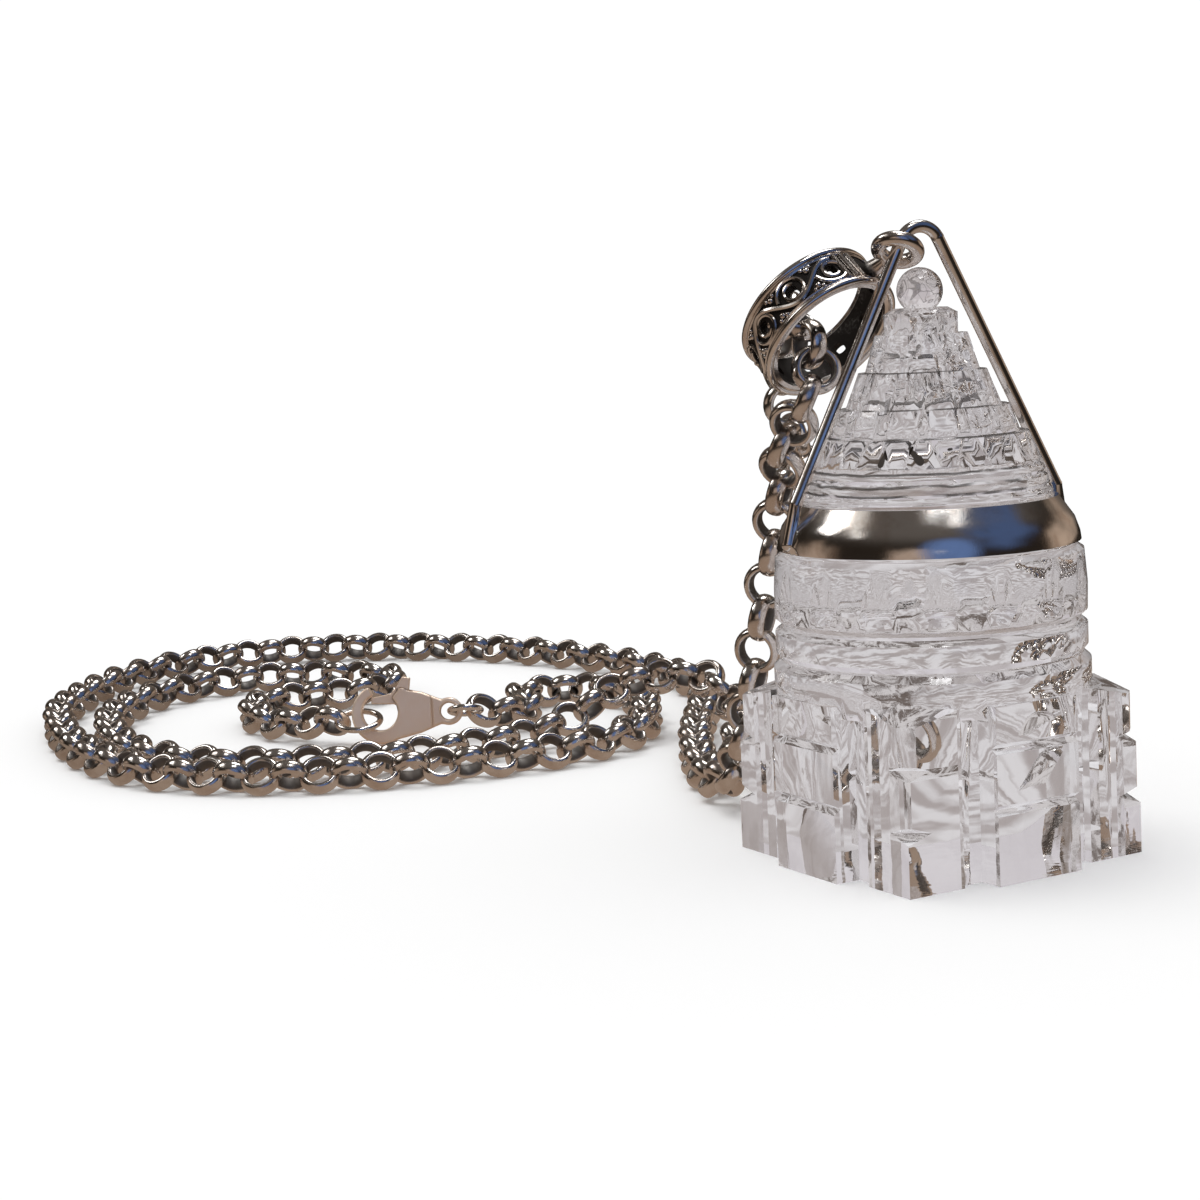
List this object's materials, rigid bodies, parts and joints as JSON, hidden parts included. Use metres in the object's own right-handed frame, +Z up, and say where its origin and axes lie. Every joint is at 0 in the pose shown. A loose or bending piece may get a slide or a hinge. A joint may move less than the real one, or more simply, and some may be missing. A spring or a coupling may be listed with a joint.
{
  "type": "yantra pendant",
  "caption": "Stepped clear crystal pendant in a soldered silver harness, with an openwork bail on a closed belcher chain with a lobster clasp.",
  "frame": {"origin": "centre of the crystal's base, on the surface it stands on", "axes": "+Z up along the crystal's axis, -Y towards the side the picture shows, +X to the right of it"},
  "size_m": [0.0981, 0.129, 0.0469],
  "materials": {
    "crystal": "clear, polished, with faint veils inside",
    "silver": "polished, lightly worn",
    "oxidised_silver": "polished on the raised parts, dark in the hollows"
  },
  "bodies": {
    "pendant": {"crystal_meru": "crystal", "silver_harness": "silver", "chain_outer": "silver", "chain_inner": "silver", "clasp_body": "silver", "clasp_ring": "silver", "end_ring": "silver"},
    "swinging_bail": {"bail": "oxidised_silver"},
    "lever": {"clasp_lever": "silver"}
  },
  "joints": [
    {"name": "bail_swing", "type": "hinge", "parent": "pendant", "child": "swinging_bail", "pos_m": [-0.00157, -0.00051, 0.04475], "axis": [0.4184, 0.1359, 0.898], "range_deg": [-6, 8]},
    {"name": "lever_press", "type": "hinge", "parent": "pendant", "child": "lever", "pos_m": [-0.04435, 0.05491, 0.00466], "axis": [0, -0.9877, 0.1564], "range_deg": [0, 22], "stiffness_Nm_per_rad": 0.0005, "springref_deg": -17.19}
  ]
}
